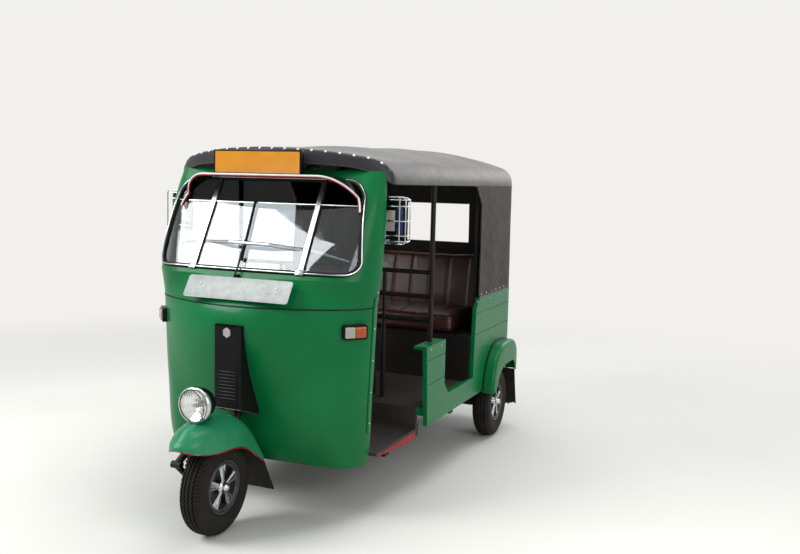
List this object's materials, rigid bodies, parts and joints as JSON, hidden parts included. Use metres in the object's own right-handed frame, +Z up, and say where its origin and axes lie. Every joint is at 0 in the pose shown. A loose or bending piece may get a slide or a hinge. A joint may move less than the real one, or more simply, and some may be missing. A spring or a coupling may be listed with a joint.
{
  "type": "auto rickshaw",
  "caption": "Three-wheeled auto rickshaw with a closed nose, open sides, soft roof, steering front wheel and rear engine lid.",
  "frame": {"origin": "on the ground under the middle of the vehicle's overall box", "axes": "+Z up, -Y towards the vehicle's front, +X towards its left side"},
  "size_m": [1.336, 2.632, 1.6942],
  "materials": {
    "body_green": "gloss paint",
    "clear_glass": "clear",
    "bright_trim": "polished",
    "black_moulding": "moulded",
    "sign_yellow": "satin",
    "plate_white": "weathered",
    "roof_vinyl": "coated cloth",
    "seat_vinyl": "grained",
    "frame_black": "semi gloss",
    "flap_rubber": "matte",
    "tyre_rubber": "matte",
    "rim_steel": "satin",
    "lamp_amber": "clear lens",
    "lamp_red": "clear lens",
    "engine_cast": "as cast",
    "exhaust_steel": "dull",
    "spring_black": "satin",
    "edge_red": "gloss"
  },
  "bodies": {
    "body": {"nose_panel": "body_green", "screen_surround": "body_green", "side_panels": "body_green", "rear_body": "body_green", "rear_mudguards": "body_green", "windscreen": "clear_glass", "screen_trim": "bright_trim", "mirrors": "bright_trim", "visor": "black_moulding", "column_cover": "black_moulding", "dashboard": "black_moulding", "wiper": "black_moulding", "sign_board": "sign_yellow", "front_plate": "plate_white", "rear_plate": "plate_white", "hood": "roof_vinyl", "driver_seat": "seat_vinyl", "driver_backrest": "seat_vinyl", "passenger_seat": "seat_vinyl", "passenger_backrest": "seat_vinyl", "hood_frame": "frame_black", "floor_pan": "frame_black", "chassis_frame": "frame_black", "partition_rails": "frame_black", "driver_seat_box": "frame_black", "passenger_seat_base": "frame_black", "rear_bumper": "frame_black", "trailing_arms": "frame_black", "drive_shafts": "frame_black", "head_tube": "frame_black", "rear_mud_flaps": "flap_rubber", "front_indicators": "lamp_amber", "tail_lamps": "lamp_red", "engine_block": "engine_cast", "silencer": "exhaust_steel", "rear_shocks": "spring_black", "sill_strips": "edge_red"},
    "steering": {"fork": "frame_black", "front_shock": "spring_black", "front_mudguard": "body_green", "front_mud_flap": "flap_rubber", "headlamp": "bright_trim", "headlamp_lens": "clear_glass", "handlebar": "black_moulding"},
    "front_wheel": {"front_tyre": "tyre_rubber", "front_rim": "rim_steel", "front_cap": "bright_trim"},
    "rear_wheel_left": {"rear_left_tyre": "tyre_rubber", "rear_left_rim": "rim_steel", "rear_left_cap": "bright_trim"},
    "rear_wheel_right": {"rear_right_tyre": "tyre_rubber", "rear_right_rim": "rim_steel", "rear_right_cap": "bright_trim"},
    "engine_lid": {"engine_cover": "body_green"}
  },
  "joints": [
    {"name": "steer", "type": "hinge", "parent": "body", "child": "steering", "pos_m": [0, -0.76027, 0.75], "axis": [0, 0.4226, 0.9063], "range_deg": [-38, 38]},
    {"name": "front_wheel_spin", "type": "hinge", "parent": "steering", "child": "front_wheel", "pos_m": [0, -1.05, 0.205], "axis": [1, 0, 0], "continuous": true},
    {"name": "rear_left_spin", "type": "hinge", "parent": "body", "child": "rear_wheel_left", "pos_m": [0.575, 0.95, 0.205], "axis": [1, 0, 0], "continuous": true},
    {"name": "rear_right_spin", "type": "hinge", "parent": "body", "child": "rear_wheel_right", "pos_m": [-0.575, 0.95, 0.205], "axis": [1, 0, 0], "continuous": true},
    {"name": "engine_lid_hinge", "type": "hinge", "parent": "body", "child": "engine_lid", "pos_m": [0, 1.296, 0.822], "axis": [1, 0, 0], "range_deg": [0, 80]}
  ]
}
